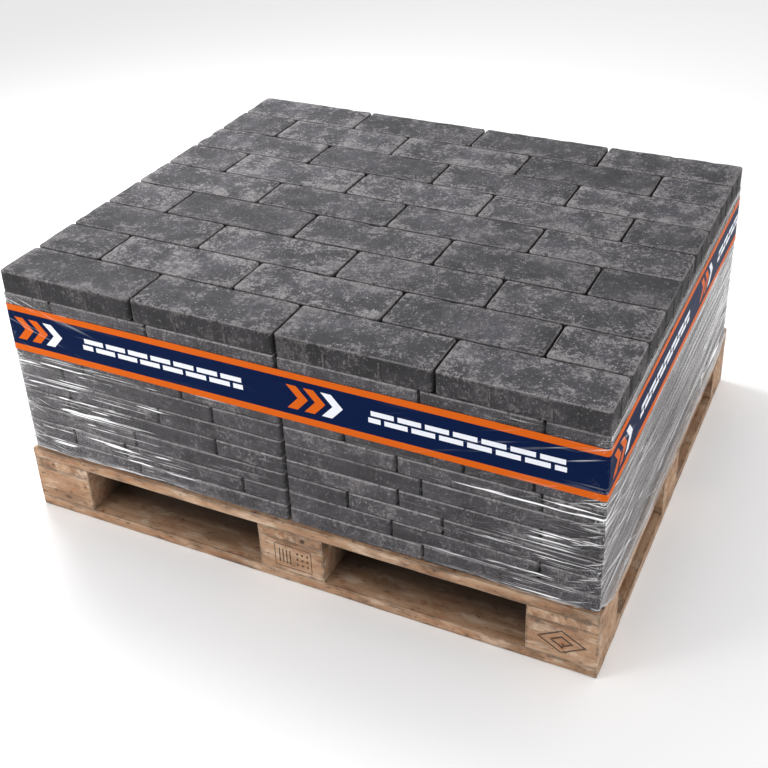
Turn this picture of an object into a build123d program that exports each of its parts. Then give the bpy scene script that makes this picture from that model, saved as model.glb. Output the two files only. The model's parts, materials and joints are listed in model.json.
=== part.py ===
from build123d import *
import os

os.makedirs("parts", exist_ok=True)

# A loaded pallet of concrete paving bricks. Millimetres, +Z up, with the origin on the floor
# under the middle of the pallet, +X along its 1200 mm front and +Y towards its back.

# Pallet, outside sizes and the thickness of each course of timber
pallet_length = 1200.0
pallet_width = 1000.0
deck_thickness = 22.0
stringer_thickness = 22.0
block_height = 78.0
bottom_thickness = 22.0

# Boards and blocks
wide_board = 145.0
narrow_board = 100.0
outer_block_length = 132.0
centre_block_length = 138.0
block_width = 118.0
lead_board_width = 145.0

# Bricks of the top layer, laid in half bond
brick_length = 294.0
brick_width = 106.0
brick_height = 46.0
brick_joint = 4.0
brick_columns = 4
brick_rows = 9
brick_corner = 5.0
brick_arris = 4.0
rib_width = 7.0
rib_crest = 3.6
rib_depth = 1.6
rib_drop = 9.0
rib_spacing = 104.0

# Stones of the lower layers: flat stones of several lengths in four stacks
stone_height = 36.5
lower_layers = 10
stone_depth = 105.0
stone_arris = 2.4
stone_joint = 4.0
stack_slot = 7.0
slot_x = 0.0
slot_y = -20.0
sliver_stone = 90.0
small_stone = 120.0
short_stone = 142.0
half_stone = 180.0
square_stone = 205.0
middle_stone = 220.0
long_stone = 265.0
full_stone = 330.0
shortest_cut = 85.0

# Wrap round the lower layers
film_clearance = 0.3
film_thickness = 0.6
film_corner = 3.0
film_edge = 2.0
skirt_drop = 28.0
band_clearance = 0.3
band_thickness = 0.4
band_width = 102.0
band_drop = 70.0

# Heights and outlines that follow from the sizes above
blocks_z = bottom_thickness
stringers_z = blocks_z + block_height
deck_z = stringers_z + stringer_thickness
load_z = deck_z + deck_thickness
top_layer_z = load_z + lower_layers * stone_height
load_length = brick_columns * (brick_length + brick_joint) - brick_joint
load_width = brick_rows * (brick_width + brick_joint) - brick_joint

deck_widths = [wide_board, narrow_board, wide_board, narrow_board, wide_board, narrow_board, wide_board]
deck_gap = (pallet_width - sum(deck_widths)) / (len(deck_widths) - 1)
outer_column_x = (pallet_length - outer_block_length) / 2
columns = {
    "left": (-outer_column_x, outer_block_length),
    "centre": (0.0, centre_block_length),
    "right": (outer_column_x, outer_block_length),
}
outer_row_y = (pallet_width - block_width) / 2
rows = {"front": -outer_row_y, "middle": 0.0, "back": outer_row_y}

# Courses of the front face, counted from the deck up. Each run starts at the slot between the
# stacks and goes outwards, and its last stone is cut to reach the corner.
front_right_courses = [
    (long_stone,),
    (square_stone, full_stone),
    (small_stone, half_stone, long_stone),
    (middle_stone, full_stone),
    (long_stone,),
    (middle_stone, full_stone),
    (small_stone, middle_stone),
    (full_stone,),
    (half_stone, square_stone),
    (long_stone,),
]
front_left_courses = [
    (full_stone,),
    (sliver_stone, long_stone),
    (full_stone,),
    (short_stone, full_stone),
    (long_stone, square_stone),
    (short_stone, full_stone),
    (square_stone, middle_stone),
    (full_stone,),
    (short_stone, middle_stone),
    (long_stone, square_stone),
]
side_courses = [
    (middle_stone,),
    (half_stone, square_stone),
    (long_stone,),
    (short_stone, middle_stone),
    (square_stone,),
    (full_stone,),
    (half_stone, middle_stone),
    (long_stone,),
    (small_stone, square_stone),
    (middle_stone,),
]


def slab(x, y, z, length, width, height):
    """A square-edged piece centred on x, y with its underside at z."""
    return Pos(x, y, z) * Box(length, width, height, align=(Align.CENTER, Align.CENTER, Align.MIN))


def save(piece, node):
    piece.label = node
    export_step(piece, f"parts/{node}.step")


def deck_boards():
    front = -pallet_width / 2
    for number, width in enumerate(deck_widths, start=1):
        save(slab(0, front + width / 2, deck_z, pallet_length, width, deck_thickness), f"deck_board_{number}")
        front += width + deck_gap


def stringer_boards():
    for side, (x, width) in columns.items():
        save(slab(x, 0, stringers_z, width, pallet_width, stringer_thickness), f"stringer_board_{side}")


def spacer_blocks():
    for row, y in rows.items():
        for side, (x, length) in columns.items():
            save(slab(x, y, blocks_z, length, block_width, block_height), f"block_{row}_{side}")


def bottom_boards():
    lead_y = (pallet_width - lead_board_width) / 2
    for row, y in (("front", -lead_y), ("back", lead_y)):
        save(slab(0, y, 0, pallet_length, lead_board_width, bottom_thickness), f"bottom_board_{row}")
    between = pallet_width - 2 * lead_board_width
    for side, (x, width) in columns.items():
        save(slab(x, 0, 0, width, between, bottom_thickness), f"bottom_board_{side}")


def rib(height):
    """One spacer rib along Z, tapered to its crest, with its flat back on the plane Y = 0."""
    foot, crest = rib_width / 2, rib_crest / 2
    section = make_face(Polyline((-foot, 0), (-crest, -rib_depth), (crest, -rib_depth), (foot, 0), close=True))
    return extrude(section, height)


def paving_brick(length):
    """A top layer brick centred on Z: blunted corners, a chamfered top edge and spacer ribs."""
    block = Box(length, brick_width, brick_height, align=(Align.CENTER, Align.CENTER, Align.MIN))
    brick = chamfer(block.edges().filter_by(Axis.Z), brick_corner)
    brick = chamfer(brick.faces().sort_by(Axis.Z)[-1].edges(), brick_arris)
    stub = rib(brick_height - rib_drop)
    offsets = (-rib_spacing / 2, rib_spacing / 2) if length > 2 * rib_spacing else (0,)
    for x in offsets:
        brick += Pos(x, -brick_width / 2, 0) * stub
        brick += Pos(x, brick_width / 2, 0) * Rot(0, 0, 180) * stub
    brick += Pos(length / 2, 0, 0) * Rot(0, 0, 90) * stub
    brick += Pos(-length / 2, 0, 0) * Rot(0, 0, -90) * stub
    return brick


def top_layer():
    half_brick = (brick_length - brick_joint) / 2
    full = paving_brick(brick_length)
    half = paving_brick(half_brick)
    bricks = []
    for row in range(brick_rows):
        y = -load_width / 2 + brick_width / 2 + row * (brick_width + brick_joint)
        shifted = row % 2 == 1
        lengths = [brick_length] * brick_columns
        if shifted:
            lengths = [half_brick] + [brick_length] * (brick_columns - 1) + [half_brick]
        x = -load_length / 2
        for length in lengths:
            shape = full if length == brick_length else half
            bricks.append(Pos(x + length / 2, y, top_layer_z) * shape)
            x += length + brick_joint
    save(Compound(children=bricks), "brick_layer_top")


def stone(length):
    """A lower layer stone with its seen face at Y = 0 facing -Y and its body behind it."""
    block = Box(length, stone_depth, stone_height, align=(Align.CENTER, Align.MIN, Align.MIN))
    return chamfer(block.faces().sort_by(Axis.Y)[0].edges(), stone_arris)


def run_of_stones(reach, course):
    """Start and length of each stone of a run, laid until the last is cut to fill the reach."""
    laid = []
    start = 0.0
    while True:
        length = course[len(laid) % len(course)]
        left = reach - start
        if left - length - stone_joint < shortest_cut:
            laid.append((start, left))
            return laid
        laid.append((start, length))
        start += length + stone_joint


def face_run(course, first, last, place):
    """Stones from first to last along one face, where place turns a centre into a location."""
    outwards = 1 if last > first else -1
    stones = []
    for start, length in run_of_stones(abs(last - first), course):
        centre = first + outwards * (start + length / 2)
        stones.append(place(centre) * stone(length))
    return stones


def lower_layer(number):
    """The outer ring of one lower layer: front, back and side runs in four stacks."""
    z = load_z + (number - 1) * stone_height
    course = number - 1
    turned = len(side_courses) - number
    front_y = -load_width / 2
    side_x = load_length / 2
    inset = stone_depth + stone_joint
    front_inset = 0 if number % 2 else inset
    side_inset = inset - front_inset
    left_x = slot_x - stack_slot / 2
    right_x = slot_x + stack_slot / 2
    near_y = slot_y - stack_slot / 2
    far_y = slot_y + stack_slot / 2

    def on_front(x):
        return Pos(x, front_y, z)

    def on_back(x):
        return Pos(x, -front_y, z) * Rot(0, 0, 180)

    def on_right(y):
        return Pos(side_x, y, z) * Rot(0, 0, 90)

    def on_left(y):
        return Pos(-side_x, y, z) * Rot(0, 0, -90)

    stones = []
    stones += face_run(front_right_courses[course], right_x, side_x - front_inset, on_front)
    stones += face_run(front_left_courses[course], left_x, front_inset - side_x, on_front)
    stones += face_run(front_left_courses[turned], right_x, side_x - front_inset, on_back)
    stones += face_run(front_right_courses[turned], left_x, front_inset - side_x, on_back)
    stones += face_run(side_courses[course], near_y, front_y + side_inset, on_right)
    stones += face_run(side_courses[turned], far_y, -front_y - side_inset, on_right)
    stones += face_run(side_courses[turned], near_y, front_y + side_inset, on_left)
    stones += face_run(side_courses[course], far_y, -front_y - side_inset, on_left)
    save(Compound(children=stones), f"brick_layer_{number:02d}")


def hidden_core():
    """The stones inside the ring, as one plain block for each of the four stacks."""
    inset = stone_depth + stone_joint
    reach_x = load_length / 2 - inset
    reach_y = load_width / 2 - inset
    spans_x = ((-reach_x, slot_x - stack_slot / 2), (slot_x + stack_slot / 2, reach_x))
    spans_y = ((-reach_y, slot_y - stack_slot / 2), (slot_y + stack_slot / 2, reach_y))
    height = lower_layers * stone_height
    blocks = []
    for x0, x1 in spans_x:
        for y0, y1 in spans_y:
            blocks.append(slab((x0 + x1) / 2, (y0 + y1) / 2, load_z, x1 - x0, y1 - y0, height))
    save(Compound(children=blocks), "brick_core")


def sleeve(inside, thickness, z, height):
    """A thin closed wall round the load, standing the given distance off its faces."""
    outer = RectangleRounded(
        load_length + 2 * (inside + thickness), load_width + 2 * (inside + thickness), film_corner + thickness
    )
    inner = RectangleRounded(load_length + 2 * inside, load_width + 2 * inside, film_corner)
    return Pos(0, 0, z) * extrude(outer - inner, height)


def film_skirt(side):
    """The film drawn down over whatever reaches furthest out on one side, deck or load."""
    inside = load_length / 2 + film_clearance
    furthest = max(pallet_length, load_length) / 2
    outside = furthest + film_clearance + film_thickness
    reach = load_width - 2 * film_corner
    fold = slab(side * (inside + outside) / 2, 0, load_z, outside - inside, reach, film_thickness)
    hem_x = side * (outside - film_thickness / 2)
    return fold + slab(hem_x, 0, load_z - skirt_drop, film_thickness, reach, skirt_drop + film_thickness)


def wrap():
    height = lower_layers * stone_height
    film = sleeve(film_clearance, film_thickness, load_z, height - film_edge)
    for side in (-1, 1):
        film += film_skirt(side)
    save(film, "stretch_film")
    over_film = film_clearance + film_thickness + band_clearance
    band_z = top_layer_z + brick_height - band_drop - band_width
    save(sleeve(over_film, band_thickness, band_z, band_width), "printed_band")


deck_boards()
stringer_boards()
spacer_blocks()
bottom_boards()
top_layer()
for layer in range(1, lower_layers + 1):
    lower_layer(layer)
hidden_core()
wrap()
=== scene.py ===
import json
import math
import random

import bmesh
import bpy
from mathutils import Matrix, Vector, noise

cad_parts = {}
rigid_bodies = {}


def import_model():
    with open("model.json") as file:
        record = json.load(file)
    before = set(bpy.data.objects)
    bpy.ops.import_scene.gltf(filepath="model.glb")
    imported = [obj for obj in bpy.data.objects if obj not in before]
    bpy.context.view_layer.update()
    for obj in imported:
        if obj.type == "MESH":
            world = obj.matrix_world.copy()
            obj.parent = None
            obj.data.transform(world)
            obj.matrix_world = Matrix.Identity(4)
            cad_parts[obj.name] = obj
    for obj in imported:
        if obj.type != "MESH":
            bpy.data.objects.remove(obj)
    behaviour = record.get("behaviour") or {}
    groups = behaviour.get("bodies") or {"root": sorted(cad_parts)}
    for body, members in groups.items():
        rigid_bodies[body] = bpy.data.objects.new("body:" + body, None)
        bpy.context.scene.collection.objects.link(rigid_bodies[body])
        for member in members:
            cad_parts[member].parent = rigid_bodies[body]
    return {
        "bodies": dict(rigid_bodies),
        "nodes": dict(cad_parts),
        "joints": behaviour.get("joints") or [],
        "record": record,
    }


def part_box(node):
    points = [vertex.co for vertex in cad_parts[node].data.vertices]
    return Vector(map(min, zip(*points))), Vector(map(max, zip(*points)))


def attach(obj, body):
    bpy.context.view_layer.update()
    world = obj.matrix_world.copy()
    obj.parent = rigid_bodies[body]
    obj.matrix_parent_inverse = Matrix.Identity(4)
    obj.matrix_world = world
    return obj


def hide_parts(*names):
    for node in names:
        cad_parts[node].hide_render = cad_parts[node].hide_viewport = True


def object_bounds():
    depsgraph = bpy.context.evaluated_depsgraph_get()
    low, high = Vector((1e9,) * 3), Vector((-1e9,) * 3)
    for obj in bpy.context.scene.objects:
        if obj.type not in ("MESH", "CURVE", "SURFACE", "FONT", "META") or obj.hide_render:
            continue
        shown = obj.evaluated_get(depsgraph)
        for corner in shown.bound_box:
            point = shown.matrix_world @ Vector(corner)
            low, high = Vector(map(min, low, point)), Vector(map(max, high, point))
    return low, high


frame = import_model()
cadBox = [list(corner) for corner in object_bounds()]
print("frame loaded,", len(frame["nodes"]), "nodes")


def smooth(value, low, high):
    share = min(1.0, max(0.0, (value - low) / (high - low)))
    return share * share * (3 - 2 * share)


def wobble(*place):
    return noise.noise(Vector(place))


# Camera and light

view = {
    "place": (0.9563, -1.9347, 1.6021),
    "turn": (60.723, 1.384, 24.661),  # degrees
    "lens": 55.66,
    "sensor": 36.0,
    "shift": (-0.04, -0.13),
}


def setCamera():
    data = bpy.data.cameras.new("photoView")
    data.lens = view["lens"]
    data.sensor_width = view["sensor"]
    data.shift_x, data.shift_y = view["shift"]
    camera = bpy.data.objects.new("photoView", data)
    camera.location = view["place"]
    camera.rotation_euler = [math.radians(angle) for angle in view["turn"]]
    bpy.context.collection.objects.link(camera)
    bpy.context.scene.camera = camera


studio = {
    "floorSize": 14.0,
    "floorDrop": 0.0005,
    "floorColour": (0.985, 0.985, 0.99, 1.0),
    "floorRoughness": 0.9,
    "sky": (1.0, 1.0, 1.0, 1.0),
    "skyStrength": 0.80,
    "lamps": (
        # name, place, size, power, aimed at
        ("keyLamp", (-1.25, 0.5, 1.85), 1.1, 42.0, (-0.2, 0.0, 0.4)),
        ("sideLamp", (3.0, -0.5, 1.9), 1.6, 20.0, (0.5, 0.0, 0.3)),
        ("frontLamp", (-1.8, -2.4, 1.5), 1.2, 26.0, (-0.3, 0.0, 0.3)),
    ),
}


def lightStudio():
    world = bpy.data.worlds.new("paleRoom")
    world.use_nodes = True
    sky = world.node_tree.nodes["Background"]
    sky.inputs["Color"].default_value = studio["sky"]
    sky.inputs["Strength"].default_value = studio["skyStrength"]
    bpy.context.scene.world = world
    # keeps whites white and colours full
    bpy.context.scene.view_settings.view_transform = "Standard"
    for name, place, size, power, aim in studio["lamps"]:
        data = bpy.data.lights.new(name, "AREA")
        data.shape = "DISK"
        data.size = size
        data.energy = power
        lamp = bpy.data.objects.new(name, data)
        lamp.location = place
        lamp.rotation_euler = (Vector(aim) - Vector(place)).to_track_quat("-Z", "Y").to_euler()
        bpy.context.collection.objects.link(lamp)
    mesh = bpy.data.meshes.new("floor")
    bm = bmesh.new()
    bmesh.ops.create_grid(bm, x_segments=1, y_segments=1, size=studio["floorSize"] / 2)
    bmesh.ops.translate(bm, vec=(0, 0, -studio["floorDrop"]), verts=bm.verts)
    bm.to_mesh(mesh)
    bm.free()
    floor = bpy.data.objects.new("floor", mesh)
    bpy.context.collection.objects.link(floor)
    paint = bpy.data.materials.new("paleFloor")
    paint.use_nodes = True
    shader = paint.node_tree.nodes["Principled BSDF"]
    shader.inputs["Base Color"].default_value = studio["floorColour"]
    shader.inputs["Roughness"].default_value = studio["floorRoughness"]
    mesh.materials.append(paint)


# Materials: a wire wraps one socket, so that shader maths reads as an expression


class Wire:
    def __init__(self, finish, socket):
        self.finish = finish
        self.socket = socket

    def __add__(self, other):
        return self.finish.maths("ADD", self, other)

    def __sub__(self, other):
        return self.finish.maths("SUBTRACT", self, other)

    def __rsub__(self, other):
        return self.finish.maths("SUBTRACT", other, self)

    def __mul__(self, other):
        return self.finish.maths("MULTIPLY", self, other)

    def __truediv__(self, other):
        return self.finish.maths("DIVIDE", self, other)

    def __lt__(self, other):
        return self.finish.maths("LESS_THAN", self, other)

    def __gt__(self, other):
        return self.finish.maths("GREATER_THAN", self, other)

    __radd__ = __add__
    __rmul__ = __mul__


class Finish:
    def __init__(self, name):
        self.material = bpy.data.materials.new(name)
        self.material.use_nodes = True
        self.tree = self.material.node_tree
        self.tree.nodes.clear()

    def node(self, kind, settings=None, sockets=None, output=0):
        made = self.tree.nodes.new("ShaderNode" + kind)
        for key, value in (settings or {}).items():
            setattr(made, key, value)
        for key, value in (sockets or {}).items():
            socket = made.inputs[key]
            if isinstance(value, Wire):
                self.tree.links.new(value.socket, socket)
            else:
                socket.default_value = value
        return Wire(self, made.outputs[output]) if len(made.outputs) else None

    def maths(self, operation, *values):
        return self.node("Math", {"operation": operation}, dict(enumerate(values)))

    def highest(self, first, second):
        return self.maths("MAXIMUM", first, second)

    def lowest(self, first, second):
        return self.maths("MINIMUM", first, second)

    def ramp(self, value, low, high):
        # 0 at low, 1 at high, smooth between them
        settings = {"interpolation_type": "SMOOTHSTEP"}
        return self.node("MapRange", settings, {"Value": value, "From Min": low, "From Max": high})

    def attribute(self, name, output="Fac"):
        return self.node("Attribute", {"attribute_name": name}, output=output)

    def split(self, vector, axis):
        return self.node("SeparateXYZ", sockets={"Vector": vector}, output=axis)

    def mapping(self, vector, **sockets):
        return self.node("Mapping", sockets={"Vector": vector, **sockets})

    def place(self, turn=(0, 0, 0), shift=None):
        spot = self.node("TexCoord", output="Object")
        if shift is not None:
            spot = self.node("VectorMath", {"operation": "ADD"}, {0: spot, 1: shift})
        return self.mapping(spot, Rotation=turn)

    def noise(self, where, scale, detail, rough, distortion=0.0):
        sockets = {"Vector": where, "Scale": scale, "Detail": detail, "Roughness": rough}
        return self.node("TexNoise", sockets={**sockets, "Distortion": distortion})

    def blend(self, factor, first, second, mode="MIX"):
        # a Mix node's colours are its sockets 6 and 7, and its output 2
        settings = {"data_type": "RGBA", "blend_type": mode}
        return self.node("Mix", settings, {"Factor": factor, 6: first, 7: second}, output=2)

    def bump(self, height, strength, distance):
        sockets = {"Strength": strength, "Distance": distance, "Height": height}
        return self.node("Bump", sockets=sockets)

    def done(self, sockets):
        shader = self.node("BsdfPrincipled", sockets=sockets)
        self.node("OutputMaterial", sockets={"Surface": shader})
        return self.material


concrete = {
    "dark": (0.028, 0.0268, 0.0300, 1.0),
    "mid": (0.072, 0.0695, 0.0790, 1.0),
    "pale": (0.122, 0.1160, 0.1190, 1.0),
    "dust": (0.205, 0.1960, 0.1960, 1.0),
    "crest": (0.270, 0.2600, 0.2620, 1.0),
    "grit": (0.400, 0.3900, 0.3950, 1.0),
    "pit": (0.010, 0.0095, 0.0100, 1.0),
    "roughness": 0.9,
    "bump": (0.75, 0.0016),  # strength and depth
    # scale, detail and roughness of each noise
    "clouds": (9.0, 2.0, 0.5),
    "patches": (24.0, 5.0, 0.60),
    "grainy": (130.0, 6.0, 0.72),
    "stains": (60.0, 5.0, 0.66),
    "grains": (330.0, 3.0, 0.65),
    "smear": {"scale": (55, 55, 7), "detail": 5.0, "rough": 0.7},
    # dots to the metre, their size in a cell and the share of cells with one
    "specks": ((110.0, 0.22, 0.14), (240.0, 0.30, 0.16)),
    "pits": ((150.0, 0.26, 0.16), (330.0, 0.32, 0.22)),
    # the values at which each layer begins and is full
    "bars": {
        "bed": (0.94, 1.42),
        "bloom": (1.42, 1.50),
        "crust": (1.40, 1.46),
        "rub": (1.06, 1.20),
        "ragged": (0.46, 0.62),
        "chips": (0.96, 1.0),
        "paintedRecessShade": (0.42, 0.85),
        "facing": (0.25, 0.8),
        "under": (0.0, -0.5),
        "slope": (0.08, 0.4),
        "notFlat": (0.95, 0.7),
        "shade": (0.22, 0.78),
        "smear": (0.25, 0.75),
    },
    # how much of what lies under it a full layer covers
    "cover": {
        "bloom": 0.8,
        "crust": 0.7,
        "rub": 0.7,
        "chips": 0.75,
        "specks": 0.6,
        "pits": 0.7,
        "paintedRecessShade": 0.93,
    },
}


def dots(finish, where, scale, size, share):
    # round dots, one in some of the cells of a grid of random points
    cell = finish.node("TexVoronoi", sockets={"Vector": where, "Scale": scale})
    chance = finish.node("TexVoronoi", sockets={"Vector": where, "Scale": scale}, output="Color")
    kept = finish.node("SeparateColor", sockets={"Color": chance}) > (1 - share)
    return finish.ramp(cell, size, size * 0.55) * kept


def castConcrete(name, brightness=1.0, sideShade=0.62, mottle=1.0, crestShare=0.7):
    # grey through and through, mottled, with grainy paler patches and worn pale edges
    finish = Finish(name)
    cover = concrete["cover"]
    tone = finish.attribute("tone")
    wear = finish.attribute("wear")
    edging = finish.attribute("edging")
    cleft = finish.attribute("cleft")
    spot = finish.place(shift=finish.attribute("drift", "Vector"))
    clouds, patches, grainy, stains, grains = (
        finish.noise(spot, *concrete[kind])
        for kind in ("clouds", "patches", "grainy", "stains", "grains")
    )

    def shown(layer, amount):
        return finish.ramp(amount, *concrete["bars"][layer])

    def twoSizes(kind):
        return finish.highest(*(dots(finish, spot, *sizes) for sizes in concrete[kind]))

    upward = finish.split(finish.node("NewGeometry", output="Normal"), "Z")
    facing = shown("facing", upward)
    run = concrete["smear"]
    smear = finish.noise(finish.mapping(spot, Scale=run["scale"]), 1.0, run["detail"], run["rough"])

    # a broad patch is paler where its sum with fine grain passes a bar, so its rim is ragged
    ragged = grainy * 0.9 + grains * 0.35
    bed = shown("bed", clouds * 0.7 + patches * 0.8 + ragged * 0.7)
    colour = finish.blend(bed, concrete["dark"], concrete["mid"])
    worn = tone * 0.08 + edging * 0.13
    bloom = shown("bloom", patches * 0.9 + clouds * 0.35 + ragged * 1.15 + worn)
    colour = finish.blend(bloom * (cover["bloom"] * mottle), colour, concrete["pale"])
    crust = shown("crust", patches * 0.6 + stains * 0.5 + ragged * 1.2 + worn * 0.6)
    colour = finish.blend(crust * (cover["crust"] * mottle), colour, concrete["dust"])

    # painted shade deep in the joints and on faces that look down; edges that something rubbed are
    # pale, and bevels that slope upward get a painted highlight
    # painted shade: the joints and the undersides darken, where shade falls
    paintedRecessShade = shown("paintedRecessShade", cleft + shown("under", upward) * 0.5)
    rub = shown("rub", wear * 0.75 + ragged * 0.5 + stains * 0.3) * (1 - paintedRecessShade)
    colour = finish.blend(rub * cover["rub"], colour, concrete["dust"])
    # painted highlight: a pale line on bevels that slope upward, broken up by the grain
    crest = shown("slope", upward) * shown("notFlat", upward) * (1 - paintedRecessShade)
    crest = crest * shown("ragged", ragged) * crestShare
    colour = finish.blend(crest, colour, concrete["crest"])
    chips = shown("chips", wear * 0.62 + grainy * 0.7)
    colour = finish.blend(chips * (cover["chips"] * mottle), colour, concrete["pit"])
    specks = twoSizes("specks")
    colour = finish.blend(specks * (cover["specks"] * mottle), colour, concrete["grit"])
    pits = twoSizes("pits")
    colour = finish.blend(pits * (cover["pits"] * mottle), colour, concrete["pit"])

    # grain, smears and tone, times painted shade: sides darker than tops and a little warmer, as
    # under light from above, and the joints darker still
    shade = shown("shade", grains) * 0.55 + 0.72
    shade = shade * (facing * (1 - sideShade) + sideShade)
    shade = shade * (shown("smear", smear) * 0.45 + 0.76)
    shade = shade * (tone * 0.42 + 0.95) * brightness * (1 - paintedRecessShade * cover["paintedRecessShade"])
    tint = {"X": shade, "Y": shade * (facing * 0.03 + 0.96), "Z": shade * (facing * 0.06 + 0.95)}
    colour = finish.blend(1.0, colour, finish.node("CombineXYZ", sockets=tint), "MULTIPLY")
    height = grains * 0.6 + grainy * (0.9 * mottle) + specks * 0.3 - pits * 0.9 + crust * 0.15
    strength, depth = concrete["bump"]
    bump = finish.bump(height, strength, depth * mottle)
    return finish.done(
        {"Base Color": colour, "Roughness": concrete["roughness"], "Normal": bump}
    )


timber = {
    "pale": (0.460, 0.292, 0.180, 1.0),
    "warm": (0.330, 0.176, 0.092, 1.0),
    "late": (0.150, 0.076, 0.038, 1.0),
    "darkWoodAndShade": (0.024, 0.012, 0.007, 1.0),
    "rust": (0.300, 0.115, 0.040, 1.0),
    "bleached": (0.600, 0.450, 0.330, 1.0),
    "dirt": (0.052, 0.038, 0.028, 1.0),
    # painted shade: how dark the wood gets deep inside the pallet
    "paintedInsideShade": 0.96,
    "rings": 380.0,  # radians of their wave to the metre
    "pith": {"Scale": (0.04, 1, 1), "Location": (0, 0.03, 0.09)},
    "knotCells": {"Scale": (5, 15, 15)},
    "nails": (42.0, 0.14, 0.16),  # as the dots of the concrete
    "nailStains": (42.0, 0.42, 0.16),
    "roughness": 0.8,
    "bump": (0.65, 0.0012),
    # scale along and across the grain, detail and roughness of each noise
    "wander": ((1.6, 7, 7), 2.0, 0.5),
    "fibre": ((9, 300, 300), 4.0, 0.7),
    "lines": ((3.5, 120, 120), 5.0, 0.7),
    "blotch": ((9, 24, 24), 6.0, 0.70),
    "weathered": ((26, 60, 60), 5.0, 0.72),
    "stains": ((14, 42, 42), 4.0, 0.6),
    "spots": ((50, 120, 120), 3.0, 0.6),
    "saw": ((230, 12, 12), 2.0, 0.5),
}


def sawnPine(name, turn=0.0, burnt=None):
    # rings round a pith that runs along the board, so faces show grain and ends show rings
    finish = Finish(name)
    wear = finish.attribute("wear")
    along = finish.place((0, 0, turn), finish.attribute("board", "Vector"))

    def stretched(kind):
        scale, detail, rough = timber[kind]
        return finish.noise(finish.mapping(along, Scale=scale), 1.0, detail, rough)

    pith = finish.mapping(along, **timber["pith"])
    radius = finish.node("VectorMath", {"operation": "LENGTH"}, {0: pith}, output="Value")
    radius = radius + stretched("wander") * 0.09
    rings = finish.maths("SINE", radius * timber["rings"])
    fibre, lines = stretched("fibre"), stretched("lines")
    blotch, weathered = stretched("blotch"), stretched("weathered")
    knotPlace = finish.mapping(along, **timber["knotCells"])
    cells = finish.node("TexVoronoi", sockets={"Vector": knotPlace, "Scale": 1.0})
    knots = finish.ramp(cells + fibre * 0.05, 0.125, 0.085)
    halo = finish.ramp(cells, 0.34, 0.08)
    nails = dots(finish, along, *timber["nails"])
    stainAround = finish.ramp(dots(finish, along, *timber["nailStains"]), 0.1, 0.9)
    stains = stretched("stains")
    spots = finish.ramp(stretched("spots"), 0.63, 0.69)
    grime = finish.ramp(wear * 0.30 + blotch * 0.6 + weathered * 0.5, 0.66, 0.86)
    arris = finish.ramp(wear + fibre * 0.5 - blotch * 0.6, 0.72, 0.95)

    # from the bare wood up: what shows through, and the colour laid over it
    washes = [
        (finish.ramp(blotch, 0.44, 0.62) * 0.75, "warm"),
        (finish.ramp(weathered, 0.53, 0.68) * 0.5, "late"),
        (finish.ramp(lines, 0.55, 0.70) * 0.5, "late"),
        (finish.ramp(fibre, 0.58, 0.74) * 0.4, "late"),
        (finish.ramp(stains, 0.54, 0.66) * 0.45, "rust"),
        (finish.ramp(stains + fibre * 0.2, 0.56, 0.44) * 0.75, "bleached"),
        (spots * 0.6, "darkWoodAndShade"),
        (halo * 0.6, "late"),
        (stainAround * 0.55, "rust"),
        (finish.highest(knots * 0.9, nails * 0.9), "darkWoodAndShade"),
        (grime * 0.6, "dirt"),
        (arris * 0.5, "bleached"),
        # painted shade: darker further inside the pallet, where shade falls
        (finish.attribute("inside") * timber["paintedInsideShade"], "darkWoodAndShade"),
    ]
    if burnt is not None:
        washes.append((burnt(finish) * finish.ramp(fibre, 0.2, 0.5) * 0.9, "darkWoodAndShade"))
    grain = finish.ramp(rings + fibre * 1.6, 0.0, 2.1) * 0.5
    colour = finish.blend(grain, timber["pale"], timber["warm"])
    for share, wash in washes:
        colour = finish.blend(share, colour, timber[wash])
    height = fibre * 1.0 + lines * 0.6 + stretched("saw") * 0.3 + (1 - knots) * 0.3
    bump = finish.bump(height, *timber["bump"])
    return finish.done({"Base Color": colour, "Roughness": timber["roughness"], "Normal": bump})


burnMarks = {
    # the two seen blocks at the front, the middle of each mark and its reach
    "block_front_right": {"middle": (0.534, 0.061), "reach": (0.046, 0.027)},
    "block_front_centre": {"middle": (0.004, 0.061), "reach": (0.040, 0.027)},
    "frontY": -0.498,
    # all below in shares of the reach
    "diamonds": ((0.86, 1.0), (0.34, 0.50)),
    "frame": (0.955, 0.93),
    "bars": {"from": -0.85, "to": -0.1, "tall": 0.62, "step": 0.19, "width": 0.07},
    "dots": {"from": 0.1, "to": 0.91, "tall": 0.7, "steps": (0.27, 0.466), "size": 0.011},
}


def markPlace(finish, node):
    # the place on a block's front face, from -1 to 1 across its mark
    spot = finish.place()
    x, y, z = (finish.split(spot, axis) for axis in "XYZ")
    mark = burnMarks[node]
    across = (x - mark["middle"][0]) / mark["reach"][0]
    up = (z - mark["middle"][1]) / mark["reach"][1]
    return across, up, y < burnMarks["frontY"]


def within(value, low, high):
    return (value > low) * (value < high)


def diamondMark(finish):
    # one diamond inside another, pressed in with a hot iron
    across, up, front = markPlace(finish, "block_front_right")
    reach = finish.maths("ABSOLUTE", across) + finish.maths("ABSOLUTE", up)
    return finish.highest(*(within(reach, *line) for line in burnMarks["diamonds"])) * front


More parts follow.
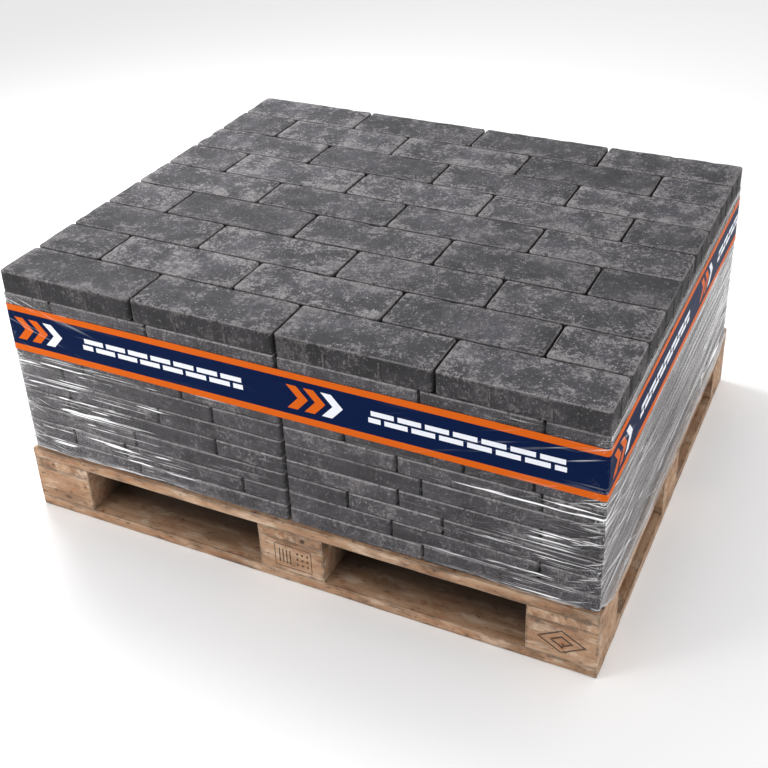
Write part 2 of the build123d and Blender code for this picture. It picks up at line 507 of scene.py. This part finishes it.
def gridMark(finish):
    # a framed row of bars with dots beside it
    across, up, front = markPlace(finish, "block_front_centre")
    wide, tall = finish.maths("ABSOLUTE", across), finish.maths("ABSOLUTE", up)
    side, top = burnMarks["frame"]
    frame = (wide < 1.0) * (tall < 1.0) * finish.highest(wide > side, tall > top)

    row = burnMarks["bars"]
    bars = within(across, row["from"], row["to"]) * (tall < row["tall"])
    bars = bars * (finish.maths("FLOORED_MODULO", across, row["step"]) < row["width"])

    field = burnMarks["dots"]
    stepX, stepY = field["steps"]
    cellX = finish.maths("FLOORED_MODULO", across - field["from"], stepX) - stepX / 2
    cellY = finish.maths("FLOORED_MODULO", up + field["tall"], stepY) - stepY / 2
    spots = cellX * cellX * 3.0 + cellY * cellY < field["size"]
    spots = spots * within(across, field["from"], field["to"]) * (tall < field["tall"])
    return finish.highest(finish.highest(frame, bars), spots) * front


# Cast blocks, for the bricks on top and the stones below


# metres within which two places count as one
tiny = {"cut": 1e-6, "merge": 1e-5, "level": 1e-4}


def nearEdge(point, size):
    # how far a point of a block centred on Z lies from the block's nearest edge
    sides = (size[0] / 2 - abs(point.x), size[1] / 2 - abs(point.y))
    gaps = sorted((*sides, size[2] - point.z, point.z))
    return math.hypot(max(gaps[0], 0), max(gaps[1], 0))


def cutLines(reach, step, margin):
    # even cuts across a side, with one more a margin inside each end
    count = max(1, round((2 * reach - 2 * margin) / step))
    return [-reach + margin + (2 * reach - 2 * margin) * n / count for n in range(count + 1)]


def cutAcross(bm, normal, places):
    for place in places:
        bmesh.ops.bisect_plane(
            bm,
            geom=bm.verts[:] + bm.edges[:] + bm.faces[:],
            dist=tiny["cut"],
            plane_co=Vector(normal) * place,
            plane_no=normal,
        )


def roundEdges(bm, edges, radius, segments):
    bmesh.ops.bevel(
        bm,
        geom=edges,
        offset=radius,
        offset_type="OFFSET",
        affect="EDGES",
        segments=segments,
        profile=0.5,
        material=-1,
        clamp_overlap=True,
    )


def castBlock(size, shape):
    # one block centred on Z with its foot at zero, as a mesh to copy from
    bm = bmesh.new()
    bmesh.ops.create_cube(bm, size=1)
    bmesh.ops.translate(bm, vec=(0, 0, 0.5), verts=bm.verts)
    bmesh.ops.scale(bm, vec=size, verts=bm.verts)
    upright = [e for e in bm.edges if abs(e.verts[0].co.z - e.verts[1].co.z) > size[2] / 2]
    roundEdges(bm, upright, shape["corner"], shape["segments"])
    for level, radius in ((size[2], shape["topEdge"]), (0.0, shape["footEdge"])):
        rim = [e for e in bm.edges if all(abs(v.co.z - level) < tiny["cut"] for v in e.verts)]
        roundEdges(bm, rim, radius, shape["segments"])
    cutAcross(bm, (1, 0, 0), cutLines(size[0] / 2, shape["step"], shape["margin"]))
    cutAcross(bm, (0, 1, 0), cutLines(size[1] / 2, shape["step"], shape["margin"]))
    cutAcross(bm, (0, 0, 1), [size[2] * share for share in shape["levels"]])
    # a cut can fall on a bevel's own line
    bmesh.ops.remove_doubles(bm, verts=bm.verts, dist=tiny["merge"])
    return bm


def pushRibs(bm, size, ribs):
    # the spacer ribs, two on each long side of a full brick and one on each end
    top = size[2] - ribs["drop"]
    half = ribs["width"] / 2
    aside = ribs["spacing"] / 2
    places = (-aside, aside) if size[0] > 2 * ribs["spacing"] else (0.0,)
    cutAcross(bm, (0, 0, 1), [top])
    cutAcross(bm, (1, 0, 0), [place + side for place in places for side in (-half, half)])
    cutAcross(bm, (0, 1, 0), [-half, half])
    for axis, centres in ((1, places), (0, (0.0,))):
        for sign in (-1, 1):
            for centre in centres:
                faces = []
                for face in bm.faces:
                    middle = face.calc_center_median()
                    if face.normal[axis] * sign < ribs["square"] or middle.z > top:
                        continue
                    if abs(middle[1 - axis] - centre) < half:
                        faces.append(face)
                raised = bmesh.ops.extrude_face_region(bm, geom=faces)["geom"]
                move = Vector((0, 0, 0))
                move[axis] = sign * ribs["proud"]
                verts = [item for item in raised if isinstance(item, bmesh.types.BMVert)]
                bmesh.ops.translate(bm, vec=move, verts=verts)
                bmesh.ops.delete(bm, geom=faces, context="FACES_ONLY")
                for vert in verts:
                    vert.co[1 - axis] = centre + (vert.co[1 - axis] - centre) * ribs["taper"]
    bmesh.ops.recalc_face_normals(bm, faces=bm.faces)


def islandBoxes(node):
    # lowest and highest corner of each separate solid of a CAD node
    bm = bmesh.new()
    bm.from_mesh(frame["nodes"][node].data)
    bmesh.ops.remove_doubles(bm, verts=bm.verts, dist=tiny["merge"])
    seen, boxes = set(), []
    for start in bm.verts:
        if start in seen:
            continue
        seen.add(start)
        group, queue = [], [start]
        while queue:
            vert = queue.pop()
            group.append(vert.co.copy())
            for edge in vert.link_edges:
                other = edge.other_vert(vert)
                if other not in seen:
                    seen.add(other)
                    queue.append(other)
        low = Vector(min(point[axis] for point in group) for axis in range(3))
        high = Vector(max(point[axis] for point in group) for axis in range(3))
        boxes.append((low, high))
    bm.free()
    return sorted(boxes, key=lambda box: tuple(round(value, 4) for value in box[0]))


weathering = {
    "drift": (3.1, 1.7, 2.3),  # how far apart the patterns of two blocks lie
    "seeds": 2.5,
    "tones": 0.5,
    # scale and place of each noise, and what is added to it
    "dent": (55, (0, 0, 0), 0.4),
    "nick": (42, (0, 0, 0), 0.25),
    "chip": (24, (7, 3, 5), -0.42),
    "chipGain": 4,
}


def weather(verts, size, centre, shape, seed, tone, layers):
    # dents the faces a little and the edges more, and marks tone and wear for the material
    drift = Vector(seed * share for share in weathering["drift"])

    def hollow(kind, spot):
        scale, place, more = weathering[kind]
        return noise.noise(spot * scale + Vector(place)) + more

    for vert in verts:
        local = vert.co - centre
        near = nearEdge(local, size)
        gaps = (size[0] / 2 - abs(local.x), size[1] / 2 - abs(local.y))
        sunk = min(gaps)
        bare = shape["openAbove"] and local.z > size[2] / 2
        onTop = bare and local.z > size[2] - shape["topEdge"] - tiny["level"]
        wear = max(0.0, 1.0 - near / shape["wearReach"])
        worn = [max(0.0, 1.0 - max(0.0, gap) / shape["edging"]) for gap in gaps]
        vert[layers["tone"]] = tone
        vert[layers["drift"]] = drift
        vert[layers["wear"]] = wear if sunk > -tiny["level"] else 1.0  # ribs get the full wear value, so the material makes them pale
        # cleft: how far into a joint a point lies, which the material turns into painted shade
        vert[layers["cleft"]] = 0.0 if bare else max(0.0, sunk) / shape["topEdge"]
        vert[layers["edging"]] = sum(worn) if onTop else 0.0
        spot = local + drift
        dent = shape["dent"] * hollow("dent", spot)
        nick = wear * shape["nick"] * max(0.0, hollow("nick", spot))
        chip = shape["chip"] * wear * max(0.0, hollow("chip", spot)) * weathering["chipGain"]
        vert.co -= vert.normal * max(0.0, dent + nick + chip)


def layBlocks(name, node, shape, material, ribs=None):
    # one mesh of a whole layer, each block cast from its own solid's box
    rng = random.Random(node)
    cast = {}
    whole = bmesh.new()
    layers = {key: whole.verts.layers.float.new(key) for key in ("tone", "wear", "cleft", "edging")}
    layers["drift"] = whole.verts.layers.float_vector.new("drift")
    proud = ribs["proud"] if ribs else 0.0
    for low, high in islandBoxes(node):
        low = low + Vector((proud, proud, 0))
        high = high - Vector((proud, proud, 0))
        size = tuple(round(value, 5) for value in high - low)
        if size not in cast:
            block = castBlock(size, shape)
            if ribs:
                pushRibs(block, size, ribs)
            cast[size] = bpy.data.meshes.new("cast")
            block.to_mesh(cast[size])
            block.free()
        centre = Vector(((low.x + high.x) / 2, (low.y + high.y) / 2, low.z))
        first = len(whole.verts)
        whole.from_mesh(cast[size])
        whole.verts.ensure_lookup_table()
        verts = whole.verts[first:]
        skew = math.radians(rng.uniform(-shape["skew"], shape["skew"]))
        spin = Matrix.Rotation(skew, 3, "Z")
        for vert in verts:
            vert.co = spin @ vert.co + centre
        whole.normal_update()
        seed = rng.uniform(0, weathering["seeds"])
        tone = rng.uniform(-weathering["tones"], weathering["tones"])
        weather(verts, size, centre, shape, seed, tone, layers)
    mesh = bpy.data.meshes.new(name)
    whole.to_mesh(mesh)
    whole.free()
    for spare in cast.values():
        bpy.data.meshes.remove(spare)
    return addPiece(name, mesh, material, [node])


def addPiece(name, mesh, material, nodes, crease=35.0):
    # edges bent by more than the crease, in degrees, stay sharp
    piece = bpy.data.objects.new(name, mesh)
    bpy.context.collection.objects.link(piece)
    mesh.materials.append(material)
    mesh.shade_smooth()
    mesh.set_sharp_from_angle(angle=math.radians(crease))
    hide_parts(*nodes)
    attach(piece, "root")
    return piece


topBrick = {
    "corner": 0.0078,
    "topEdge": 0.0040,
    "footEdge": 0.0020,
    "openAbove": True,
    "segments": 3,
    "step": 0.0125,
    "margin": 0.0105,
    "levels": (0.2, 0.45, 0.7, 0.84),
    "wearReach": 0.010,
    "edging": 0.036,
    "dent": 0.00040,
    "nick": 0.0014,
    "chip": 0.0030,
    "skew": 0.08,
}
topRibs = {
    "width": 0.007,
    "taper": 0.5,
    "proud": 0.0016,
    "drop": 0.009,
    "spacing": 0.104,
    "square": 0.9,  # a face that looks this much along an axis is on that side
}

flatStone = {
    "corner": 0.0040,
    "topEdge": 0.0054,
    "footEdge": 0.0036,
    "openAbove": False,
    "segments": 3,
    "step": 0.028,
    "margin": 0.012,
    "levels": (0.3, 0.7),
    "wearReach": 0.008,
    "edging": 0.020,
    "dent": 0.00030,
    "nick": 0.0009,
    "chip": 0.0016,
    "skew": 0.0,
}


load = {
    "layers": range(1, 11),
    "topConcrete": {"brightness": 0.93},
    "lowerConcrete": {"brightness": 1.12, "sideShade": 0.95, "mottle": 0.7, "crestShare": 0.9},
}


def stackBricks():
    bare = castConcrete("paverConcrete", **load["topConcrete"])
    layBlocks("topBricks", "brick_layer_top", topBrick, bare, topRibs)
    print("top bricks laid")
    lower = castConcrete("stoneConcrete", **load["lowerConcrete"])
    for layer in load["layers"]:
        node = f"brick_layer_{layer:02d}"
        layBlocks(f"flatStones{layer:02d}", node, flatStone, lower)
    core = frame["nodes"]["brick_core"]
    core.data.materials.clear()
    core.data.materials.append(lower)
    print("lower layers laid")


# Pallet timber

sawnBoard = {
    "edge": 0.0012,
    "segments": 2,
    "alongStep": 0.040,
    "acrossStep": 0.030,
    "margins": (0.006, 0.006, 0.005),
    "wearReach": 0.010,
    "insideReach": 0.09,  # how far in from the pallet's outline the wood gets its full painted shade
    "seeds": (9, 0.06, 0.08),  # how far apart the grain of two boards lies
    "drift": 50,
    # depth, scale of its noise and what is added to that
    "sag": (0.0008, 3.5, 0.2),
    "rough": (0.0003, 60, 0.5),
    "nick": (0.0014, 30, -0.1),
}


def sawTimber(node, material):
    rng = random.Random(node)
    low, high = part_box(node)
    size = high - low
    bm = bmesh.new()
    bmesh.ops.create_cube(bm, size=1)
    bmesh.ops.scale(bm, vec=size, verts=bm.verts)
    roundEdges(bm, bm.edges[:], sawnBoard["edge"], sawnBoard["segments"])
    steps = [sawnBoard["acrossStep"]] * 3
    steps[0 if size.x > size.y else 1] = sawnBoard["alongStep"]
    for axis, normal in enumerate(((1, 0, 0), (0, 1, 0), (0, 0, 1))):
        cutAcross(bm, normal, cutLines(size[axis] / 2, steps[axis], sawnBoard["margins"][axis]))
    bm.normal_update()
    layers = {key: bm.verts.layers.float.new(key) for key in ("wear", "inside")}
    layers["board"] = bm.verts.layers.float_vector.new("board")
    along, aside, above = sawnBoard["seeds"]
    seed = (rng.uniform(0, along), rng.uniform(-aside, aside), rng.uniform(-above, above))
    drift = Vector((rng.uniform(0, sawnBoard["drift"]), rng.uniform(0, sawnBoard["drift"]), 0))

    def hollow(kind, spot):
        depth, scale, more = sawnBoard[kind]
        return depth * (noise.noise(spot * scale) + more)

    for vert in bm.verts:
        gaps = sorted(size[axis] / 2 - abs(vert.co[axis]) for axis in range(3))
        near = math.hypot(max(gaps[0], 0), max(gaps[1], 0))
        wear = max(0.0, 1.0 - near / sawnBoard["wearReach"])
        spot = vert.co + drift
        nick = wear * max(0.0, hollow("nick", spot))
        vert[layers["wear"]] = wear
        vert[layers["board"]] = seed
        lost = max(0.0, hollow("sag", spot)) + hollow("rough", spot) + nick
        vert.co -= vert.normal * max(0.0, lost)
    bmesh.ops.translate(bm, vec=(low + high) / 2, verts=bm.verts)
    for vert in bm.verts:
        reach = min(cadBox[1][0] - abs(vert.co.x), cadBox[1][1] - abs(vert.co.y))
        vert[layers["inside"]] = smooth(reach, 0.0, sawnBoard["insideReach"])
    mesh = bpy.data.meshes.new("sawn_" + node)
    bm.to_mesh(mesh)
    bm.free()
    return addPiece("sawn_" + node, mesh, material, [node])


def buildPallet():
    alongX = sawnPine("pineAlongX")
    alongY = sawnPine("pineAlongY", turn=math.radians(90))
    for number in range(1, 8):
        sawTimber(f"deck_board_{number}", alongX)
    for side in ("left", "centre", "right"):
        sawTimber(f"stringer_board_{side}", alongY)
        sawTimber(f"bottom_board_{side}", alongY)
    for row in ("front", "back"):
        sawTimber(f"bottom_board_{row}", alongX)
    stamped = {
        "block_front_right": sawnPine("pineDiamond", burnt=diamondMark),
        "block_front_centre": sawnPine("pineGrid", burnt=gridMark),
    }
    for row in ("front", "middle", "back"):
        for side in ("left", "centre", "right"):
            node = f"block_{row}_{side}"
            sawTimber(node, stamped.get(node, alongX))
    print("pallet built")


# Stretch film and its printed band, cut as flat sheets and wound round the load

filmCut = {
    "corner": 0.0050,
    "standOff": 0.0007,
    "columns": (150, 126),  # along a long and a short side
    "rows": 84,
    "crowding": 0.62,  # how much closer the columns stand at the corners
    "crease": 60.0,  # degrees, from which a fold stays sharp
    # the gap at its lower and upper edge, and the height and pitches of the waves along them
    "foot": (0.0008, 0.006, 5.1, 17),
    "head": (0.0012, 0.004, 4.3, 19),
    # height of the level ripples, pitch along and up of the long and the short ones
    "ripple": (0.0013, (4.0, 62.0), (9.0, 140.0)),
    # height of the creases at the corners, their pitches, and how they slope and fan out
    "gather": (0.0028, (11.0, 120.0)),
    "gatherSlope": (0.55, 7.0, 1.1),
    "gatherReach": 0.12,
    "underBand": 0.25,  # share of all that is left under the band
    "bandEdge": (0.004, 0.008),  # how far inside and outside the band's edge that changes
    "skirt": 0.027,  # how far it hangs down over the ends of the deck boards
    "skirtOut": 0.0063,
    "skirtTaper": (0.004, 0.075),
    "skirtFold": (0.022, 0.014, 0.12),  # its start above the deck, its height, and its taper
    "crumpleReach": 0.022,
    "hemReach": 0.007,
    "fanSlope": 0.30,
}
bandCut = {"over": 0.0008, "rows": 13, "wave": (0.0012, 2.5)}


class Wrapping:
    # the path round the load and what the film does along it
    def __init__(self):
        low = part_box("brick_layer_01")[0]
        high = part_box("brick_layer_10")[1]
        bandLow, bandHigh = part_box("printed_band")
        self.band = (bandLow.z, bandHigh.z)
        self.deckTop, self.loadTop = low.z, high.z
        off, radius = filmCut["standOff"], filmCut["corner"]
        size = high - low
        self.flats = [size[side % 2] + 2 * off - 2 * radius for side in range(4)]
        self.bend = math.pi / 2 * radius
        self.lengths = [flat + self.bend for flat in self.flats]
        self.ends = [sum(self.lengths[:n]) for n in range(5)]
        left, right, front, back = low.x - off, high.x + off, low.y - off, high.y + off
        self.starts = (
            (Vector((left + radius, front)), Vector((1, 0))),
            (Vector((right, front + radius)), Vector((0, 1))),
            (Vector((right - radius, back)), Vector((-1, 0))),
            (Vector((left, back - radius)), Vector((0, -1))),
        )

    def place(self, side, share):
        # the share of a side runs over its flat and the bend that follows it
        run = share * self.lengths[side]
        start, way = self.starts[side]
        out = Vector((way.y, -way.x))
        if run <= self.flats[side]:
            return start + way * run, out
        angle = (run - self.flats[side]) / filmCut["corner"]
        middle = start + way * self.flats[side] - out * filmCut["corner"]
        out = out * math.cos(angle) + way * math.sin(angle)
        return middle + out * filmCut["corner"], out

    def toCorner(self, along):
        return min(abs(along - end + self.bend / 2) for end in self.ends)

    def skirt(self, side, along):
        if side % 2 == 0:
            return 0.0
        return smooth(self.toCorner(along), *filmCut["skirtTaper"])

    def bottom(self, side, along):
        gap, tall, pitch, fine = filmCut["foot"]
        wave = 0.5 + wobble(along * pitch, 0.0, 4.0) + 0.5 * wobble(along * fine, 3.0, 1.0)
        rise = self.deckTop + gap + tall * max(0.0, wave)
        return rise - filmCut["skirt"] * self.skirt(side, along)

    def top(self, side, along):
        gap, tall, pitch, fine = filmCut["head"]
        wave = abs(wobble(along * pitch, 8.0, 2.0)) + 0.4 * abs(wobble(along * fine, 1.0, 2.0))
        return self.loadTop - gap - tall * wave

    def puff(self, along, z):
        # how far it stands off: long level ripples, and creases that fan out from the corners
        near = self.toCorner(along)
        tall, long, short = filmCut["ripple"]
        ripple = wobble(along * long[0], z * long[1], 3.0)
        ripple += 0.5 * wobble(along * short[0], z * short[1], 9.0)
        lift = tall * max(0.0, ripple)
        tall, pitch = filmCut["gather"]
        slant, change, apart = filmCut["gatherSlope"]
        slope = slant * wobble(z * change, round(along / apart), 1.0)
        fan = wobble(along * pitch[0], (z + near * slope) * pitch[1], 5.0)
        lift += tall * math.exp(-near / filmCut["gatherReach"]) * max(0.0, fan)
        inner, outer = filmCut["bandEdge"]
        pressed = smooth(z, self.band[0] - outer, self.band[0] + inner)
        pressed *= 1 - smooth(z, self.band[1] - inner, self.band[1] + outer)
        return lift * (1 - (1 - filmCut["underBand"]) * pressed)

    def drape(self, side, along, z):
        # the step out over the ends of the deck boards
        start, tall, taper = filmCut["skirtFold"]
        step = smooth(self.deckTop + start - z, 0.0, tall)
        return filmCut["skirtOut"] * step * smooth(self.skirt(side, along), 0.0, taper)


def easedColumns(count):
    # shares of a side that lie closer together towards its two ends
    crowding = filmCut["crowding"]
    even = [n / count for n in range(count)]
    return [
        (1 - crowding) * share + crowding * (0.5 - 0.5 * math.cos(math.pi * share))
        for share in even
    ]


def windSheet(name, wrapping, rows, bottom, top, over=0.0):
    # a flat grid with a column for each place round the load, then wound on and closed at its seam
    stops = []
    for side, length in enumerate(wrapping.lengths):
        for share in easedColumns(filmCut["columns"][side % 2]):
            stops.append((side, share, wrapping.ends[side] + share * length))
    stops.append((3, 1.0, wrapping.ends[4]))
    bm = bmesh.new()
    bmesh.ops.create_grid(bm, x_segments=len(stops) - 1, y_segments=rows, size=0.5)
    kinds = ("haze", "glint", "gathered", "crumple", "hem")
    layers = {key: bm.verts.layers.float.new(key) for key in kinds}
    maps = {key: bm.loops.layers.uv.new(key) for key in ("wrap", "crease")}
    flatPlace = {}
    for vert in bm.verts:
        side, sideShare, along = stops[round((vert.co.x + 0.5) * (len(stops) - 1))]
        share = vert.co.y + 0.5
        foot = bottom(side, along)
        z = foot + (top(side, along) - foot) * share
        spot, out = wrapping.place(side, sideShare)
        spot = spot + out * (over + wrapping.puff(along, z) + wrapping.drape(side, along, z))
        near = wrapping.toCorner(along)
        flatPlace[vert] = (along, z, near)
        hazy, glints = filmMarks(side, along - wrapping.ends[side], z)
        vert[layers["haze"]] = hazy
        vert[layers["glint"]] = glints
        vert[layers["gathered"]] = math.exp(-near / filmCut["gatherReach"])
        vert[layers["crumple"]] = math.exp(-((near / filmCut["crumpleReach"]) ** 2))
        vert[layers["hem"]] = math.exp(-(((z - foot) / filmCut["hemReach"]) ** 2))
        vert.co = (spot.x, spot.y, z)
    for face in bm.faces:
        for loop in face.loops:
            along, z, near = flatPlace[loop.vert]
            loop[maps["wrap"]].uv = (along, z)
            loop[maps["crease"]].uv = (along, z + filmCut["fanSlope"] * near)
    bmesh.ops.remove_doubles(bm, verts=bm.verts, dist=tiny["cut"])
    bmesh.ops.recalc_face_normals(bm, faces=bm.faces)
    mesh = bpy.data.meshes.new(name)
    bm.to_mesh(mesh)
    bm.free()
    return mesh


filmLook = {
    # the haze colour, then the painted sheen and the painted highlight colours
    "milk": (0.255, 0.246, 0.252, 1.0),
    "sheen": (0.95, 0.93, 0.93, 1.0),
    "shine": (0.97, 0.97, 0.98, 1.0),
    "clear": 0.03,  # what the clearest film still hides
    "cover": 0.97,  # and what the brightest hides
    "roughness": 0.24,
    "bump": (0.5, 0.0014),
    # haze and painted glints on the front, right, back and left side; the haze is partly more film
    # and partly painted reflection
    "haze": (0.0, 0.56, 0.05, 0.42),
    "glint": (0.08, 0.48, 0.36, 0.44),
    # on the front: haze and its reach from the left corner, wide and narrow
    "cornerHaze": ((0.10, 0.10), (0.30, 0.012)),
    # where painted bright strokes crowd at the left, their spread, strength and haze
    "leftCrowd": (0.16, 0.22, 1.35, 0.05),
    "rightCrowd": (0.95, 0.78, 1.10),  # the same at the right, growing from one place to another
    "calm": (0.6, 0.480, 0.492),  # the share lost above the band, and the heights between
}


def filmMarks(side, along, z):
    # haze and painted glints by the place on a side: the front is clear but for its two ends
    hazy, glints = filmLook["haze"][side], filmLook["glint"][side]
    if side > 0:
        return hazy, glints
    middle, spread, strength, milk = filmLook["leftCrowd"]
    crowd = math.exp(-(((along - middle) / spread) ** 2))
    hazy += milk * crowd
    for share, reach in filmLook["cornerHaze"]:
        hazy += share * math.exp(-along / reach)
    rise, start, end = filmLook["rightCrowd"]
    glints += strength * crowd + rise * smooth(along, start, end)
    lost, low, high = filmLook["calm"]
    return hazy, glints * (1 - lost * smooth(z, low, high))


strokeKinds = {
    # the map it lies on, its scale along and up, the values where it begins and is full, its turn
    "clusters": ("wrap", (4.5, 22.0), (0.42, 0.54), 0.02),
    "thin": ("wrap", (3.4, 240.0), (0.58, 0.65), 0.035),
    "bold": ("wrap", (5.4, 120.0), (0.59, 0.66), 0.04),
    "broad": ("wrap", (2.2, 70.0), (0.36, 0.70), 0.05),
    "hem": ("wrap", (16.0, 260.0), (0.40, 0.56), 0.0),
    "fans": ("crease", (10.0, 240.0), (0.60, 0.67), 0.0),
    "sheen": ("wrap", (1.3, 62.0), (0.42, 0.64), 0.03),
    "fineSheen": ("wrap", (2.2, 170.0), (0.50, 0.62), 0.045),
    "faint": ("wrap", (3.0, 420.0), (0.52, 0.68), 0.0),
    "fanned": ("crease", (2.2, 95.0), (0.57, 0.68), 0.0),
    "broken": ("wrap", (20.0, 26.0), (0.44, 0.58), 0.0),
    "bandCreases": ("crease", (4.5, 85.0), (0.60, 0.74), 0.0),
    "bandWisps": ("wrap", (4.0, 70.0), (0.60, 0.76), 0.0),
    "bandSlack": ("wrap", (5.0, 60.0), (0.2, 0.8), 0.0),
}
strokeNoise = {"scale": 1.0, "detail": 3.0, "rough": 0.55, "distortion": 0.2}
crumpled = {
    "scale": (34.0, 62.0, 1.0),
    "noise": {"scale": 1.0, "detail": 2.0, "rough": 0.55, "distortion": 1.5},
    "line": (0.022, 0.004),
}


class Strokes:
    # long bright strokes and crumples drawn by stretched noise along a sheet, for painted
    # highlights as well as haze and bumps
    def __init__(self, finish):
        self.finish = finish
        self.maps = {key: finish.node("UVMap", {"uv_map": key}) for key in ("wrap", "crease")}

    def strands(self, kind):
        sheet, scale, bar, turn = strokeKinds[kind]
        sockets = {"Scale": (*scale, 1.0), "Rotation": (0, 0, turn)}
        stretched = self.finish.mapping(self.maps[sheet], **sockets)
        return self.finish.ramp(self.finish.noise(stretched, **strokeNoise), *bar)

    def crumples(self):
        # thin crooked lines where the film is gathered at a corner, drawn as painted highlights and
        # bumps
        stretched = self.finish.mapping(self.maps["wrap"], Scale=crumpled["scale"])
        crooked = self.finish.noise(stretched, **crumpled["noise"])
        lines = self.finish.ramp(self.finish.maths("ABSOLUTE", crooked - 0.5), *crumpled["line"])
        return lines * self.strands("broken")


def clearFilm():
    finish = Finish("stretchedFilm")
    hazy = finish.attribute("haze")
    glint = finish.attribute("glint")
    gathered = finish.attribute("gathered")
    strokes = Strokes(finish)
    thin = strokes.strands("thin") * (1 - hazy)
    bold, broad = strokes.strands("bold"), strokes.strands("broad")
    fans = strokes.strands("fans") * gathered
    crooked = strokes.crumples() * finish.attribute("crumple")
    sheen = strokes.strands("sheen") * 0.7 + strokes.strands("fineSheen") * 0.45

    # painted highlights: every kind of bright line, and over all of them what is brightest
    strong = glint * strokes.strands("clusters") * (thin * 0.7 + bold * 1.4)
    shine = finish.lowest(strong, 1.0)
    lines = [
        fans * 0.8,
        crooked * 0.85,
        strokes.strands("fanned") * hazy * finish.maths("SQRT", gathered) * 1.3,
        strokes.strands("faint") * glint * (1 - hazy) * 0.13,
        finish.attribute("hem") * strokes.strands("hem") * (glint * 0.5 + 0.1),
    ]
    for line in lines:
        shine = finish.highest(shine, line)

    # haze: the film's own milkiness, and on the sides partly painted reflection
    milk = hazy * (broad * 0.35 + sheen * 0.75 + 0.5) + filmLook["clear"]
    cover = finish.lowest(milk + shine, filmLook["cover"])
    bump = finish.bump(thin * 0.4 + broad * 0.7 + fans + crooked, *filmLook["bump"])
    # painted sheen: lighter streaks along the hazy sides
    lit = sheen * hazy * (broad * 0.6 + 0.6)
    colour = finish.blend(lit, filmLook["milk"], filmLook["sheen"])
    # painted highlights: white where the bright lines are
    colour = finish.blend(finish.lowest(shine * 1.3, 1.0), colour, filmLook["shine"])
    look = {"Base Color": colour, "Roughness": filmLook["roughness"]}
    return finish.done({**look, "Alpha": cover, "Normal": bump})


bandLook = {
    "navy": (0.0030, 0.0105, 0.048, 1.0),
    "orange": (0.62, 0.112, 0.010, 1.0),
    "white": (0.78, 0.80, 0.86, 1.0),
    # painted highlight colour for the creases near the corners
    "shine": (0.80, 0.82, 0.86, 1.0),
    "roughness": 0.42,
    "specular": 0.015,
    "bump": (0.3, 0.0012),
    "edge": 0.135,  # share of the width
    "repeat": 0.5975,
    # chevrons: from and to in a repeat, half their height, slant, pitch and width of one
    "chevrons": {"span": (0.030, 0.125), "half": 0.24, "slant": 0.9, "pitch": 0.034, "wide": 0.020},
    "lastChevron": 0.030,
    # small white bricks: from and to, the two courses off the middle, pitch, length and bond
    "bricks": {"span": (0.170, 0.520), "courses": (0.022, 0.120), "pitch": 0.050, "long": 0.043},
    "bond": 0.025,
}


def printedFilm(lowZ, width):
    # orange edges, a few chevrons and two courses of small white bricks, over and over
    finish = Finish("printedBand")
    strokes = Strokes(finish)
    up = (finish.split(strokes.maps["wrap"], "Y") - lowZ) / width
    off = finish.maths("ABSOLUTE", up - 0.5)
    border = off > (0.5 - bandLook["edge"])
    along = finish.split(strokes.maps["wrap"], "X")
    local = finish.maths("FLOORED_MODULO", along, bandLook["repeat"])

    mark = bandLook["chevrons"]
    slanted = local + off * width * mark["slant"]
    chevrons = within(slanted, *mark["span"]) * (off < mark["half"])
    place = finish.maths("FLOORED_MODULO", slanted, mark["pitch"])
    chevrons = chevrons * (place < mark["wide"])
    last = slanted > (mark["span"][1] - bandLook["lastChevron"])

    mark = bandLook["bricks"]
    course = within(off, *mark["courses"]) * within(local, *mark["span"])
    bonded = local + (up > 0.5) * bandLook["bond"]
    bricks = course * (finish.maths("FLOORED_MODULO", bonded, mark["pitch"]) < mark["long"])
    colour = finish.blend(border, bandLook["navy"], bandLook["orange"])
    colour = finish.blend(chevrons, colour, bandLook["orange"])
    colour = finish.blend(chevrons * last, colour, bandLook["white"])
    colour = finish.blend(bricks, colour, bandLook["white"])

    # painted highlights: creases and wisps of film near the corners
    gathered = finish.attribute("gathered")
    creases = strokes.strands("bandCreases")
    crooked = strokes.crumples() * finish.attribute("crumple")
    shine = finish.highest(creases, crooked * 0.2) * gathered
    shine = shine + strokes.strands("bandWisps") * 0.5 * gathered
    colour = finish.blend(finish.lowest(shine * 0.8, 1.0), colour, bandLook["shine"])
    bump = finish.bump(strokes.strands("bandSlack") + creases * gathered, *bandLook["bump"])
    look = {"Roughness": bandLook["roughness"], "Specular IOR Level": bandLook["specular"]}
    return finish.done({"Base Color": colour, "Normal": bump, **look})


def wrapLoad():
    wrapping = Wrapping()
    rows, bottom, top = filmCut["rows"], wrapping.bottom, wrapping.top
    mesh = windSheet("stretchFilm", wrapping, rows, bottom, top)
    film = addPiece("stretchFilm", mesh, clearFilm(), ["stretch_film"], filmCut["crease"])
    length = wrapping.ends[4]
    height = wrapping.loadTop - wrapping.deckTop
    skirts = wrapping.lengths[1] + wrapping.lengths[3]
    length * height + skirts * filmCut["skirt"]

    foot, head = wrapping.band
    tall, pitch = bandCut["wave"]

    def edge(level):
        return lambda side, along: level + tall * wobble(along * pitch, 1.0, 6.0)

    rows, over = bandCut["rows"], bandCut["over"]
    mesh = windSheet("printedBand", wrapping, rows, edge(foot), edge(head), over)
    paint = printedFilm(foot, head - foot)
    nodes = ["printed_band"]
    band = addPiece("printedBand", mesh, paint, nodes, filmCut["crease"])
    print("load wrapped")


setCamera()
lightStudio()
stackBricks()
buildPallet()
wrapLoad()
